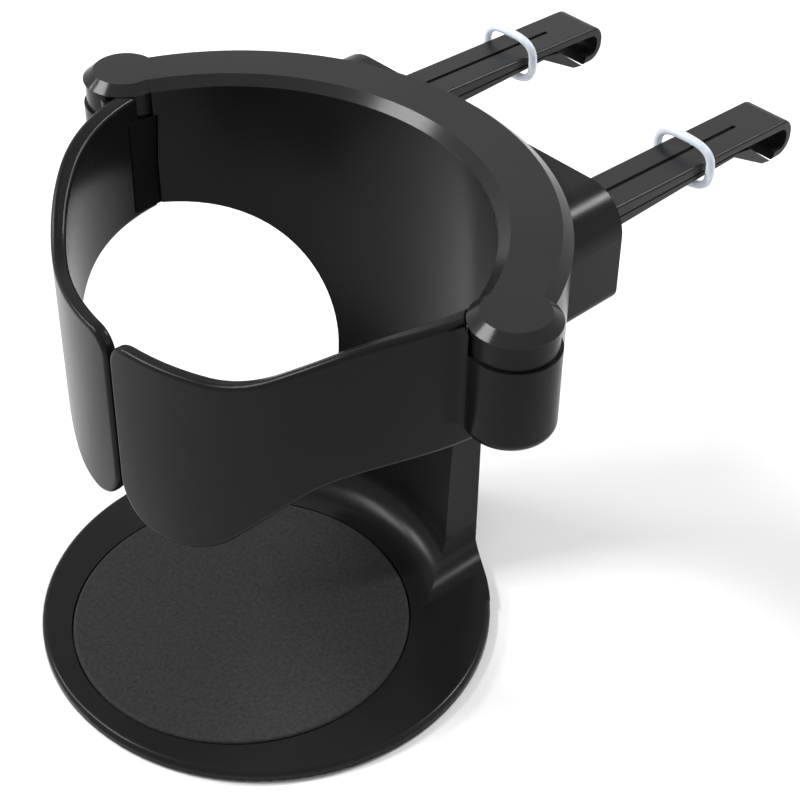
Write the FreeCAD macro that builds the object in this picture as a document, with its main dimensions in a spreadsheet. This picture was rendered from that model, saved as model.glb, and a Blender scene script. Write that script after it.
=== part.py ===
import FreeCAD, Part
import math
import os
import re
import Sketcher

# Car water bottle holder that hooks onto the blades of an air vent.
# Millimetres.  The origin is on the underside, on the axis of the bottle well.
# +X is to the holder's right, +Y points back towards the vent, +Z is up.

doc = FreeCAD.newDocument("BottleHolder")
sheet = doc.addObject("Spreadsheet::Sheet", "Sizes")

SIZES = [
    # bottle well and collar
    ("rim_height", 86.9, "top of the collar above the underside"),
    ("well_radius", 42.1, "inner wall under the collar"),
    ("well_centre", 0.7, "how far the well's axis lies in front of the origin"),
    ("wall_draft", 2.1, "taper of the inner wall, degrees"),
    ("wall_thickness", 2.4, "inner wall"),
    ("collar_width", 9.9, "collar's outer radius beyond the well's radius"),
    ("collar_centre", 1.4, "how far the collar's centre lies behind the origin"),
    ("cap_thickness", 1.6, "trim cap on the collar"),
    ("cap_bevel_width", 1.75, "bevel round the cap, seen from above"),
    ("cap_bevel_depth", 1.45, "bevel round the cap, downwards"),
    ("cap_end_radius", 7.05, "round ends of the cap over the hinges"),
    ("peg_radius", 1.3, "locating pegs under the cap"),
    ("peg_length", 2.0, "locating pegs under the cap"),
    ("peg_clearance", 0.05, "peg to socket, radial"),
    ("skirt_thickness", 2.2, "outer skirt and web of the wall"),
    ("skirt_setback", 0.15, "skirt inside the cap's edge"),
    ("wall_height", 21.9, "rim down to the lower edge of the wall"),
    ("rib_thickness", 1.6, "stiffening ribs"),
    # leg and base
    ("leg_half_width", 15.0, "half the leg's width"),
    ("leg_depth", 7.8, "leg from its inner face at the base to its back"),
    ("leg_sweep", 30.0, "arc that carries the wall's lower edge into the leg"),
    ("flange_thickness", 2.0, "side walls of the leg"),
    ("flange_overlap", 0.5, "how far the side walls run into the channel behind the wall"),
    ("foot_flare", 6.0, "arc where the leg's sides meet the base"),
    ("foot_fillet", 7.0, "arc where the leg's face meets the base"),
    ("base_inset", 2.1, "base disc's radius inside the well's radius"),
    ("base_centre", 5.9, "how far the base disc's centre lies behind the origin"),
    ("base_thickness", 2.4, "base disc"),
    ("base_edge", 1.0, "rounding of the base disc's rim"),
    ("pad_border", 10.3, "pad's radius inside the base disc's radius"),
    ("pad_thickness", 1.6, "soft pad"),
    ("pad_gap", 0.3, "shadow line round the pad"),
    ("pad_recess", 1.2, "depth of the pad's recess"),
    # rear box that carries the clips
    ("box_shoulder", 10.95, "box's side beyond the middle of the clip"),
    ("box_reach", 0.6, "back face of the box behind the collar"),
    ("box_drop", 3.6, "rim down to the top face of the box"),
    ("box_height", 20.2, "rear box, top to lower edge"),
    ("box_top_round", 7.5, "upper corners of the rear box"),
    ("box_low_round", 2.5, "lower corners of the rear box"),
    # hinges
    ("hinge_outset", 3.6, "hinge axis beside the well's radius"),
    ("hinge_y", 16.3, "hinge axis, backwards"),
    ("post_radius", 6.7, "post above the barrel"),
    ("post_height", 4.2, "post from the cap down to the barrel"),
    ("pivot_radius", 3.2, "pivot boss"),
    ("running_clearance", 0.06, "pivot boss to bore, radial"),
    ("end_clearance", 0.15, "play along the hinge axis"),
    ("barrel_radius", 7.2, "arm's barrel"),
    ("barrel_height", 15.15, "arm's barrel, top to underside"),
    ("barrel_edge", 2.0, "rounding round the barrel's underside"),
    ("barrel_gap", 0.5, "barrel to the wall's end"),
    ("spring_pocket_radius", 5.6, "pocket for the spring in the barrel"),
    ("spring_pocket_depth", 8.0, "pocket for the spring in the barrel"),
    ("washer_pocket_radius", 5.0, "recess under the barrel"),
    ("washer_pocket_depth", 3.2, "recess under the barrel"),
    ("washer_radius", 4.6, "pivot washer"),
    ("washer_thickness", 0.8, "pivot washer"),
    ("screw_radius", 1.2, "screw shank"),
    ("screw_clearance", 0.1, "screw shank to hole, radial"),
    ("screw_head_radius", 2.6, "screw head"),
    ("screw_head_height", 1.6, "screw head"),
    ("screw_grip", 8.0, "length of the screw in its boss"),
    # springs
    ("spring_radius", 4.4, "mean radius of the coil"),
    ("spring_wire", 0.9, "wire diameter"),
    ("spring_pitch", 1.2, "rise in one turn"),
    ("spring_turns", 4.75, "turns in the coil"),
    ("spring_leg_depth", 0.9, "how far the upper leg reaches into the post"),
    ("spring_leg_play", 12.0, "room beside the upper leg, degrees"),
    ("arm_opening", 38.0, "how far an arm swings out, degrees"),
    # arms
    ("arm_outset", 0.3, "outer radius of the arms beyond the well's radius"),
    ("arm_shift", 3.4, "centre of the outer face behind the hinges"),
    ("arm_wall", 3.1, "inner radius of the arms inside the outer one"),
    ("arm_inner_shift", 0.8, "centre of the inner face before that of the outer one"),
    ("arm_split", 0.6, "gap where the arms meet"),
    ("arm_dip", 9.7, "fall of the upper edge towards the front"),
    ("arm_drop", 1.4, "rim down to the upper edge beside the hinge"),
    ("arm_top_run", 14.5, "length over which the upper edge falls"),
    ("arm_top_level", 5.9, "level end of the upper edge inside the outer radius"),
    ("arm_top_round", 16.0, "arcs of the upper edge"),
    ("arm_lobe", 21.2, "fall of the lower edge towards the front"),
    ("arm_band", 23.1, "height of the arm beside the hinge"),
    ("arm_low_run", 17.8, "length over which the lower edge falls"),
    ("arm_low_level", 8.0, "level end of the lower edge inside the outer radius"),
    ("arm_low_round", 15.0, "arcs of the lower edge"),
    ("arm_corner_top", 4.0, "upper front corner"),
    ("arm_corner_low", 8.0, "lower front corner"),
    ("arm_edge", 0.8, "rounding of the arm's edges"),
    ("arm_root_fillet", 3.0, "hollow blend between arm and barrel"),
    ("hinge_block_inside", 0.1, "hinge block to the barrel's inner side"),
    ("hinge_block_width", 2.1, "block on the arm's inner face beside the barrel"),
    ("hinge_block_front", 5.0, "block, forwards of the hinge axis"),
    ("hinge_block_back", 1.3, "block, backwards of the hinge axis"),
    ("hinge_block_rise", 1.3, "underside of the block above the arm's lower edge"),
    ("post_notch", 0.3, "arm wall to the post and the cap"),
    # clips
    ("leg_to_clamp", 1.05, "leg's side to the clamp plate of the clip"),
    ("clip_width", 9.35, "clip"),
    ("clip_seat", 12.0, "length of the clip inside the box's back face"),
    ("clip_reach", 52.9, "length of the clip outside the box"),
    ("clip_drop", 7.4, "box's top down to the clip's top"),
    ("clip_fall", 2.0, "fall of the clip's top towards the hook"),
    ("clip_height", 4.6, "height of the clip at the box"),
    ("clip_low_rise", 0.8, "rise of the underside towards the neck"),
    ("clip_neck_run", 15.9, "neck before the hook's outer face"),
    ("clip_slit", 0.3, "slit between the prongs"),
    ("clip_solid", 4.0, "solid length of the clip outside the box"),
    ("clip_prong", 1.2, "upper prong at the neck"),
    ("hook_height", 6.9, "clip's top at the hook down to its lowest point"),
    ("hook_wall", 1.5, "thickness of the hook"),
    ("hook_lip_run", 4.9, "end of the hook's lip before its outer face"),
    ("finger_gap", 5.8, "tip of the lower finger before the hook's outer face"),
    ("clip_edge", 0.5, "rounding of the clip's long edges"),
    ("groove_width", 0.8, "groove along the clip"),
    ("groove_depth", 0.5, "groove along the clip"),
    ("groove_stop", 10.9, "end of the groove before the hook's outer face"),
    ("window_clearance", 0.15, "clip to its window"),
    ("clip_screw_inset", 7.5, "clip screws before the box's back face"),
    ("clamp_width", 13.0, "clamp plate"),
    ("clamp_length", 9.0, "clamp plate"),
    ("clamp_thickness", 2.0, "clamp plate"),
    ("clamp_sleeve_radius", 3.4, "sleeve of the clamp, and the boss above the clip"),
    ("seat_clearance", 0.05, "play between clip, boss and sleeve"),
    # rings
    ("ring_wire", 1.7, "thickness of the ring"),
    ("ring_clearance", 0.25, "ring to the clip's sides"),
    ("ring_half_height", 4.0, "ring, centre line"),
    ("ring_corner", 2.6, "ring, corners of the centre line"),
    ("ring_drop", 2.25, "middle of the ring below the clip's top"),
    ("right_ring_gap", 24.6, "right ring before the hook's outer face"),
    ("left_ring_gap", 20.7, "left ring before the hook's outer face"),
]

for row, (alias, value, meaning) in enumerate(SIZES, start=1):
    sheet.set("A%d" % row, meaning)
    sheet.set("B%d" % row, str(value))
    sheet.setAlias("B%d" % row, alias)
doc.recompute()
ALIASES = [alias for alias, value, meaning in SIZES]

# heights and radii that follow from the sizes, as expressions
DECK = "(rim_height - cap_thickness)"
POST_BOTTOM = "(%s - post_height)" % DECK
BARREL_TOP = "(%s - end_clearance)" % POST_BOTTOM
BOSS_END = "(barrel_bottom + washer_pocket_depth - end_clearance)"
POCKET_FLOOR = "(%s - spring_pocket_depth)" % BARREL_TOP
DRAFT = "tan(wall_draft)"
WELL_FOOT = "(well_radius - (%s - base_thickness) * %s)" % (DECK, DRAFT)
LEG_BACK = "(%s + leg_depth)" % WELL_FOOT
SKIRT_OUTER = "(collar_radius - skirt_setback)"
SKIRT_INNER = "(%s - skirt_thickness)" % SKIRT_OUTER
CHANNEL_TOP = "(%s - skirt_thickness)" % DECK
BARREL_SPACE = "(barrel_radius + barrel_gap)"

# places that follow from the sizes: heights hang from the rim, the rest from the well's radius
PLACES = {
    "collar_radius": "well_radius + collar_width",
    "wall_bottom": "rim_height - wall_height",
    "base_radius": "well_radius - base_inset",
    "pad_radius": "base_radius - pad_border",
    "clip_pitch": "2 * (leg_half_width + leg_to_clamp + clamp_width / 2)",
    "box_half_width": "clip_pitch / 2 + box_shoulder",
    "box_back": "collar_centre + collar_radius + box_reach",
    "box_top": "rim_height - box_drop",
    "box_bottom": "box_top - box_height",
    "hinge_x": "well_radius + hinge_outset",
    "barrel_bottom": BARREL_TOP + " - barrel_height",
    "arm_radius": "well_radius + arm_outset",
    "arm_centre": "hinge_y + arm_shift",
    "arm_inner_radius": "arm_radius - arm_wall",
    "arm_inner_centre": "arm_centre - arm_inner_shift",
    "arm_top_side": "rim_height - arm_drop",
    "arm_top_front": "arm_top_side - arm_dip",
    "arm_top_rise_end": "arm_radius - arm_top_level",
    "arm_top_rise_start": "arm_top_rise_end - arm_top_run",
    "arm_low_side": "arm_top_side - arm_band",
    "arm_low_front": "arm_low_side - arm_lobe",
    "arm_low_rise_end": "arm_radius - arm_low_level",
    "arm_low_rise_start": "arm_low_rise_end - arm_low_run",
    "hinge_block_low": "arm_low_side + hinge_block_rise",
    "clip_root": "box_back - clip_seat",
    "clip_back": "box_back + clip_reach",
    "clip_top_root": "box_top - clip_drop",
    "clip_top_tip": "clip_top_root - clip_fall",
    "clip_low_root": "clip_top_root - clip_height",
    "clip_low_neck": "clip_low_root + clip_low_rise",
    "clip_neck": "clip_back - clip_neck_run",
    "clip_slit_start": "box_back + clip_solid",
    "hook_low": "clip_top_tip - hook_height",
    "hook_lip": "clip_back - hook_lip_run",
    "finger_tip": "clip_back - finger_gap",
    "groove_end": "clip_back - groove_stop",
    "clip_screw_place": "box_back - clip_screw_inset",
    "ring_height": "clip_top_root - ring_drop",
    "right_ring_place": "clip_back - right_ring_gap",
    "left_ring_place": "clip_back - left_ring_gap",
}


def bound(expression):
    """The expression with each size's name pointing at its cell, and each place spelled out."""
    def cell(match):
        word = match.group()
        if word in PLACES:
            return "(%s)" % bound(PLACES[word])
        return "Sizes." + word if word in ALIASES else word
    return re.sub(r"[a-z][a-z_0-9]*", cell, expression)


def number(expression):
    return float(sheet.evalExpression(bound(expression)))


# primitives and booleans

def primitive(kind, name, place=("0", "0", "0"), **sizes):
    solid = doc.addObject("Part::" + kind, name)
    for size_name, expression in sizes.items():
        solid.setExpression(size_name, bound(expression))
    for axis, expression in zip("xyz", place):
        solid.setExpression("Placement.Base." + axis, bound(expression))
    return solid


def upright(name, radius, low, high, x="0", y="0"):
    height = "(%s) - (%s)" % (high, low)
    return primitive("Cylinder", name, (x, y, low), Radius=radius, Height=height)


def upright_cone(name, low_radius, high_radius, low, high, x="0", y="0"):
    height = "(%s) - (%s)" % (high, low)
    return primitive("Cone", name, (x, y, low), Radius1=low_radius, Radius2=high_radius, Height=height)


def block(name, low, high):
    sides = ["(%s) - (%s)" % (b, a) for a, b in zip(low, high)]
    return primitive("Box", name, low, Length=sides[0], Width=sides[1], Height=sides[2])


def cut(name, base, *tools):
    result = doc.addObject("Part::Cut", name)
    result.Base = base
    result.Tool = tools[0] if len(tools) == 1 else fuse(name + "_tools", *tools)
    return result


def fuse(name, *solids):
    result = doc.addObject("Part::MultiFuse", name)
    result.Shapes = list(solids)
    return result


def common(name, *solids):
    result = doc.addObject("Part::MultiCommon", name)
    result.Shapes = list(solids)
    return result


def group(name, *solids):
    result = doc.addObject("Part::Compound", name)
    result.Links = list(solids)
    return result


# sketches whose every corner is bound to the sheet

def new_body(name):
    body = doc.addObject("PartDesign::Body", name)
    body.Label = name
    return body


def new_sketch(body, name, plane, offset="0", sideways="0"):
    """A sketch on one of the body's own origin planes, moved along its normal and sideways."""
    sketch = body.newObject("Sketcher::SketchObject", name)
    origin_plane = [f for f in body.Origin.OriginFeatures if f.Role == plane][0]
    sketch.AttachmentSupport = (origin_plane, "")
    sketch.MapMode = "FlatFace"
    sketch.setExpression("AttachmentOffset.Base.z", bound(offset))
    sketch.setExpression("AttachmentOffset.Base.x", bound(sideways))
    return sketch


def pin(sketch, geometry, position, x, y):
    """Bind one point of the sketch to the two expressions."""
    for kind, expression, axis in (("DistanceX", x, -2), ("DistanceY", y, -1)):
        value = number(expression)
        if abs(value) < 1e-9:
            sketch.addConstraint(Sketcher.Constraint("PointOnObject", geometry, position, axis))
            continue
        ends = (-1, 1, geometry, position) if value > 0 else (geometry, position, -1, 1)
        text = expression if value > 0 else "-(%s)" % expression
        index = sketch.addConstraint(Sketcher.Constraint(kind, *ends, abs(value)))
        sketch.setExpression("Constraints[%d]" % index, bound(text))


def circle(sketch, x, y, radius):
    centre = FreeCAD.Vector(number(x), number(y), 0)
    ring = Part.Circle(centre, FreeCAD.Vector(0, 0, 1), number(radius))
    geometry = sketch.addGeometry(ring)
    pin(sketch, geometry, 3, x, y)
    index = sketch.addConstraint(Sketcher.Constraint("Radius", geometry, number(radius)))
    sketch.setExpression("Constraints[%d]" % index, bound(radius))


def outline(sketch, corners):
    """A closed outline through (x, y) or (x, y, radius): a radius rounds its corner."""
    count = len(corners)
    points = [FreeCAD.Vector(number(c[0]), number(c[1]), 0) for c in corners]
    along = [(points[(i + 1) % count] - points[i]).normalize() for i in range(count)]
    trims = []
    turns = []
    for i, corner in enumerate(corners):
        before = along[i - 1]
        after = along[i]
        turn = math.atan2(before.cross(after).z, before.dot(after))
        turns.append(turn)
        radius = number(corner[2]) if len(corner) > 2 else 0
        trims.append(radius * math.tan(abs(turn) / 2))
    marks = []
    for corner, point in zip(corners, points):
        mark = sketch.addGeometry(Part.Point(point), True)
        pin(sketch, mark, 1, corner[0], corner[1])
        marks.append(mark)
    lines = []
    for i in range(count):
        following = (i + 1) % count
        start = points[i] + along[i] * trims[i]
        end = points[following] - along[i] * trims[following]
        line = sketch.addGeometry(Part.LineSegment(start, end))
        lines.append(line)
        for place, position in ((i, 1), (following, 2)):
            if trims[place]:
                sketch.addConstraint(Sketcher.Constraint("PointOnObject", marks[place], 1, line))
            else:
                sketch.addConstraint(Sketcher.Constraint("Coincident", line, position, marks[place], 1))
    for i, corner in enumerate(corners):
        if not trims[i]:
            continue
        radius = number(corner[2])
        side = 1 if turns[i] > 0 else -1
        start = points[i] - along[i - 1] * trims[i]
        end = points[i] + along[i] * trims[i]
        inward = FreeCAD.Vector(-along[i - 1].y, along[i - 1].x, 0) * side
        centre = start + inward * radius
        first, last = (start, end) if side > 0 else (end, start)
        angles = [math.atan2(p.y - centre.y, p.x - centre.x) for p in (first, last)]
        ring = Part.Circle(centre, FreeCAD.Vector(0, 0, 1), radius)
        arc = sketch.addGeometry(Part.ArcOfCircle(ring, angles[0], angles[1]))
        arc_start, arc_end = (1, 2) if side > 0 else (2, 1)
        sketch.addConstraint(Sketcher.Constraint("Tangent", lines[i - 1], 2, arc, arc_start))
        sketch.addConstraint(Sketcher.Constraint("Tangent", lines[i], 1, arc, arc_end))
        index = sketch.addConstraint(Sketcher.Constraint("Radius", arc, radius))
        sketch.setExpression("Constraints[%d]" % index, bound(corner[2]))


def rectangle(sketch, x_low, y_low, x_high, y_high):
    outline(sketch, [(x_low, y_low), (x_high, y_low), (x_high, y_high), (x_low, y_high)])


def pad(body, sketch, length, reverse=False, both_sides=False):
    feature = body.newObject("PartDesign::Pad", sketch.Name + "_pad")
    feature.Profile = sketch
    feature.setExpression("Length", bound(length))
    feature.Reversed = reverse
    feature.Midplane = both_sides
    return feature


def pocket(body, sketch, length, reverse=False, both_sides=False):
    feature = body.newObject("PartDesign::Pocket", sketch.Name + "_pocket")
    feature.Profile = sketch
    feature.setExpression("Length", bound(length))
    feature.Reversed = reverse
    feature.Midplane = both_sides
    return feature


def revolve(body, sketch):
    feature = body.newObject("PartDesign::Revolution", sketch.Name + "_turned")
    feature.Profile = sketch
    feature.ReferenceAxis = (sketch, ["V_Axis"])
    feature.Angle = 360
    return feature


def place(thing, x="0", y="0", z="0"):
    for axis, expression in (("x", x), ("y", y), ("z", z)):
        thing.setExpression("Placement.Base." + axis, bound(expression))


def soften(body, radius, wanted):
    """Round the edges of the body's tip that the test picks out."""
    doc.recompute()
    tip = body.Tip
    edges = ["Edge%d" % (i + 1) for i, edge in enumerate(tip.Shape.Edges) if wanted(edge)]
    feature = body.newObject("PartDesign::Fillet", tip.Name + "_soft")
    feature.Base = (tip, edges)
    feature.setExpression("Radius", bound(radius))
    return feature


# holder body: wall, leg, base disc and rear box in one moulding

def front_outline():
    """The wall and the leg as seen from the front, as a thick slab behind the hinges."""
    body = new_body("front_outline")
    sketch = new_sketch(body, "front_outline_sketch", "XZ_Plane", "-hinge_y")
    side = "(collar_radius + 10)"
    toe = "(leg_half_width + 2 * foot_flare)"
    outline(sketch, [
        ("-" + side, DECK),
        ("-" + side, "wall_bottom"),
        ("-leg_half_width", "wall_bottom", "leg_sweep"),
        ("-leg_half_width", "base_thickness", "foot_flare"),
        ("-" + toe, "base_thickness"),
        ("-" + toe, "base_thickness / 2"),
        (toe, "base_thickness / 2"),
        (toe, "base_thickness"),
        ("leg_half_width", "base_thickness", "foot_flare"),
        ("leg_half_width", "wall_bottom", "leg_sweep"),
        (side, "wall_bottom"),
        (side, DECK),
    ])
    pad(body, sketch, "box_back + 10 - hinge_y", reverse=True)
    return body


def leg_core():
    """The space behind the leg's face, between its side walls."""
    body = new_body("leg_core")
    sketch = new_sketch(body, "leg_core_sketch", "XZ_Plane", "-hinge_y")
    side = "(collar_radius + 10)"
    edge = "(leg_half_width - flange_thickness)"
    inner_sweep = "leg_sweep + flange_thickness"
    ceiling = "(wall_bottom + flange_thickness)"
    outline(sketch, [
        ("-" + side, ceiling),
        ("-" + edge, ceiling, inner_sweep),
        ("-" + edge, "base_thickness"),
        (edge, "base_thickness"),
        (edge, ceiling, inner_sweep),
        (side, ceiling),
        (side, ceiling + " + 1"),
        ("-" + side, ceiling + " + 1"),
    ])
    pad(body, sketch, "box_back + 10 - hinge_y", reverse=True)
    return body


def well():
    """The space for the bottle: a tapered well with a fillet round its floor."""
    body = new_body("well")
    sketch = new_sketch(body, "well_sketch", "XZ_Plane")
    height = "(%s + 10)" % DECK
    outline(sketch, [
        ("0", "base_thickness"),
        (WELL_FOOT, "base_thickness", "foot_fillet"),
        ("well_radius + 10 * " + DRAFT, height),
        ("0", height),
    ])
    revolve(body, sketch)
    place(body, y="-well_centre")
    return body


def rear_box(name, inset, back):
    """The rear box, or with an inset the space inside it."""
    body = new_body(name)
    sketch = new_sketch(body, name + "_sketch", "XZ_Plane", "-hinge_y")
    side = "(box_half_width - %s)" % inset
    roof = "box_top - %s" % inset
    floor = "box_bottom" if inset == "0" else "box_bottom - 1"
    top_round = "box_top_round - %s" % inset
    low_corners = [("-" + side, floor), (side, floor)]
    if inset == "0":
        low_corners = [corner + ("box_low_round",) for corner in low_corners]
    outline(sketch, low_corners + [(side, roof, top_round), ("-" + side, roof, top_round)])
    pad(body, sketch, "%s - hinge_y" % back, reverse=True)
    return body


def base_plate():
    """The base disc with its rounded rim."""
    body = new_body("base_plate")
    sketch = new_sketch(body, "base_plate_sketch", "XZ_Plane")
    outline(sketch, [
        ("0", "0"),
        ("base_radius", "0", "base_edge / 2"),
        ("base_radius", "base_thickness", "base_edge"),
        ("0", "base_thickness"),
    ])
    revolve(body, sketch)
    place(body, y="base_centre")
    return body


def spring_leg_space(side, sign):
    """Arc-shaped recess under the post, in which the spring's upper leg travels."""
    x = sign + "hinge_x"
    top = POST_BOTTOM + " + spring_leg_depth + 0.6"
    sector = upright(side + "_leg_sector", "spring_radius + spring_wire", POST_BOTTOM + " - 1", top,
                     x=x, y="hinge_y")
    sweep = "arm_opening + 2 * spring_leg_play"
    sector.setExpression("Angle", bound(sweep))
    first = -90 - number("spring_leg_play") if not sign else -90 - number("arm_opening + spring_leg_play")
    sector.Placement.Rotation = FreeCAD.Rotation(FreeCAD.Vector(0, 0, 1), first)
    core = upright(side + "_leg_core", "spring_radius - spring_wire", POST_BOTTOM + " - 2", top + " + 1",
                   x=x, y="hinge_y")
    return cut(side + "_spring_leg_space", sector, core)


def toe_trims():
    """What the flares of the leg would leave outside the base disc."""
    disc_round = upright("disc_round", "base_radius", "-1", "base_thickness + foot_flare + 1", y="base_centre")
    near = "leg_half_width"
    far = "leg_half_width + 3 * foot_flare"
    trims = []
    for side, low, high in (("left", "-(%s)" % far, "-" + near), ("right", near, far)):
        beside = block(side + "_toe_block", (low, "0", "-1"), (high, "box_back", "base_thickness + foot_flare"))
        trims.append(cut(side + "_toe_trim", beside, disc_round))
    return trims


def peg_places():
    """Where the cap's pegs go: on the middle of the collar, clear of the leg's ribs."""
    middle = "((well_radius + collar_radius) / 2)"
    places = []
    for angle in (38, 66, 114, 142):
        x = "%s * cos(%d)" % (middle, angle)
        y = "%s * sin(%d) + (collar_centre - well_centre) / 2" % (middle, angle)
        places.append((x, y))
    return places


def holder_body():
    wall_block = upright("wall_block", SKIRT_OUTER, "wall_bottom", DECK, y="collar_centre")
    leg_block = upright("leg_block", LEG_BACK, "base_thickness / 2", "wall_bottom", y="-well_centre")
    box_block = rear_box("box_block", "0", "box_back")
    solid = fuse("shell_blocks", wall_block, leg_block, box_block)
    shell = common("shell", solid, front_outline())

    inner_low = "%s + wall_thickness" % WELL_FOOT
    inner_shell = upright_cone("inner_shell", inner_low, "well_radius + wall_thickness",
                               "base_thickness", DECK, y="-well_centre")
    wall_space = upright("wall_space", SKIRT_INNER, "wall_bottom", CHANNEL_TOP, y="collar_centre")
    core = leg_core()
    flange_column = upright("flange_column", LEG_BACK, "base_thickness",
                            "wall_bottom + flange_thickness + flange_overlap", y="-well_centre")
    box_space = rear_box("box_space", "skirt_thickness", "box_back - skirt_thickness")
    keeps = [inner_shell, cut("flange_top", flange_column, core)]
    for side, sign in (("left", "-"), ("right", "")):
        keeps.append(upright(side + "_end_wall", BARREL_SPACE + " + skirt_thickness",
                             "wall_bottom - 1", DECK, x=sign + "hinge_x", y="hinge_y"))
        keeps.append(block(side + "_box_rib",
                           (sign + "leg_half_width" + (" + flange_thickness - rib_thickness" if sign else
                                                       " - flange_thickness"),
                            "hinge_y", "wall_bottom + flange_thickness"),
                           (sign + "leg_half_width" + (" + flange_thickness" if sign else
                                                       " - flange_thickness + rib_thickness"),
                            "box_back", DECK)))
        keeps.append(upright(side + "_clip_boss", "clamp_sleeve_radius",
                             "clip_top_root + seat_clearance", DECK,
                             x=sign + "clip_pitch / 2", y="clip_screw_place"))
    channel = cut("channel", fuse("hollows", wall_space, box_space), *keeps)
    leg_reach = upright("leg_reach", LEG_BACK + " + flange_overlap", "0",
                        "wall_bottom + flange_overlap", y="-well_centre")
    leg_hollow = common("leg_hollow", cut("behind_leg_face", core, inner_shell), leg_reach)
    behind_wall = cut("behind_wall", shell, channel)
    behind_leg = cut("behind_leg", behind_wall, leg_hollow)
    hollow_shell = cut("hollow_shell", behind_leg, well(), *toe_trims())

    pieces = [hollow_shell, base_plate()]
    holes = [upright("pad_recess_space", "pad_radius + pad_gap", "base_thickness - pad_recess",
                     "base_thickness + 1")]
    clearances = []
    for side, sign in (("left", "-"), ("right", "")):
        x = sign + "hinge_x"
        clearances.append(upright(side + "_barrel_space", BARREL_SPACE, "0", POST_BOTTOM, x=x, y="hinge_y"))
        pieces.append(upright(side + "_post", "post_radius", POST_BOTTOM, DECK, x=x, y="hinge_y"))
        pieces.append(upright(side + "_pivot", "pivot_radius", BOSS_END, POST_BOTTOM + " + 1",
                              x=x, y="hinge_y"))
        holes.append(spring_leg_space(side, sign))
        holes.append(upright(side + "_pilot", "screw_radius + screw_clearance", BOSS_END + " - 1",
                             BOSS_END + " + screw_grip + 1", x=x, y="hinge_y"))
        holes.append(upright(side + "_clip_pilot", "screw_radius + screw_clearance", "clip_top_root - 1",
                             "clip_top_root + screw_grip / 2 + 1",
                             x=sign + "clip_pitch / 2", y="clip_screw_place"))
        half = "(clip_width / 2 + window_clearance)"
        centre = "%sclip_pitch / 2" % sign
        holes.append(block(side + "_window",
                           (centre + " - " + half, "box_back - 2 * skirt_thickness",
                            "clip_low_root - window_clearance"),
                           (centre + " + " + half, "box_back + 1", "clip_top_root + window_clearance")))
    for i, (x, y) in enumerate(peg_places()):
        holes.append(upright("peg_socket_%d" % (i + 1), "peg_radius + peg_clearance",
                             CHANNEL_TOP + " - 1", DECK + " + 1", x=x, y=y))
    pieces[0] = cut("cleared_shell", hollow_shell, *clearances)
    return cut("holder_body", fuse("joined_body", *pieces), *holes)


# collar cap: the bevelled trim on top of the wall

def collar_cap():
    bevel_foot = "(rim_height - cap_bevel_depth)"
    slope = "cap_bevel_width * cap_thickness / cap_bevel_depth"
    top = "rim_height"
    outer = upright_cone("cap_outer", "collar_radius", "collar_radius - cap_bevel_width",
                         bevel_foot, top, y="collar_centre")
    outer_land = upright("cap_outer_land", "collar_radius", DECK, bevel_foot, y="collar_centre")
    inner = upright_cone("cap_inner", "well_radius", "well_radius + cap_bevel_width",
                         bevel_foot, top, y="-well_centre")
    inner_land = upright("cap_inner_land", "well_radius", DECK, bevel_foot, y="-well_centre")
    front = block("cap_front", ("-collar_radius - 5", "-collar_radius - 5", DECK + " - 1"),
                  ("collar_radius + 5", "hinge_y", "rim_height + 1"))
    band = cut("cap_band", fuse("cap_disc", outer, outer_land), inner, inner_land, front)
    pieces = [band]
    for side, sign in (("left", "-"), ("right", "")):
        x = sign + "hinge_x"
        pieces.append(upright_cone(side + "_cap_end", "cap_end_radius", "cap_end_radius - cap_bevel_width",
                                   bevel_foot, top, x=x, y="hinge_y"))
        pieces.append(upright(side + "_cap_end_land", "cap_end_radius", DECK, bevel_foot, x=x, y="hinge_y"))
    for i, (x, y) in enumerate(peg_places()):
        pieces.append(upright("cap_peg_%d" % (i + 1), "peg_radius", DECK + " - peg_length",
                              DECK + " + cap_thickness / 2", x=x, y=y))
    return fuse("collar_cap", *pieces)


def base_pad():
    body = new_body("base_pad")
    sketch = new_sketch(body, "base_pad_sketch", "XZ_Plane")
    outline(sketch, [
        ("0", "0"),
        ("pad_radius", "0"),
        ("pad_radius", "pad_thickness", "pad_thickness / 4"),
        ("0", "pad_thickness"),
    ])
    revolve(body, sketch)
    place(body, z="base_thickness - pad_recess")
    return body


# arms

def arm_side_outline(sketch):
    """The arm seen from the front: a low lobe in the middle, a level band beside the hinge."""
    start = "arm_split / 2"
    end = "hinge_x"
    low_arc = "arm_low_round * tan(atan(arm_lobe / arm_low_run) / 2)"
    low_corner = "min(arm_corner_low; arm_low_rise_start - %s - %s - arm_edge)" % (start, low_arc)
    outline(sketch, [
        (start, "arm_low_front", low_corner),
        ("arm_low_rise_start", "arm_low_front", "arm_low_round"),
        ("arm_low_rise_end", "arm_low_side", "arm_low_round"),
        (end, "arm_low_side"),
        (end, "arm_top_side"),
        ("arm_top_rise_end", "arm_top_side", "arm_top_round"),
        ("arm_top_rise_start", "arm_top_front", "arm_top_round"),
        (start, "arm_top_front", "arm_corner_top"),
    ])


def on_arm_rim(edge):
    """The edges round the arm's outline, but not those across its wall or behind the hinge."""
    box = edge.BoundBox
    behind = box.YMin > number("hinge_y") - 0.01
    return not (behind or on_one_wall_end(edge))


def on_one_wall_end(edge):
    """Lines that cross the wall from its inner to its outer face."""
    ends = [v.Point for v in edge.Vertexes]
    if len(ends) < 2:
        return False
    centre = FreeCAD.Vector(0, number("arm_centre"), 0)
    reaches = [(FreeCAD.Vector(p.x, p.y, 0) - centre).Length for p in ends]
    return abs(reaches[0] - reaches[1]) > 1


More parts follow.
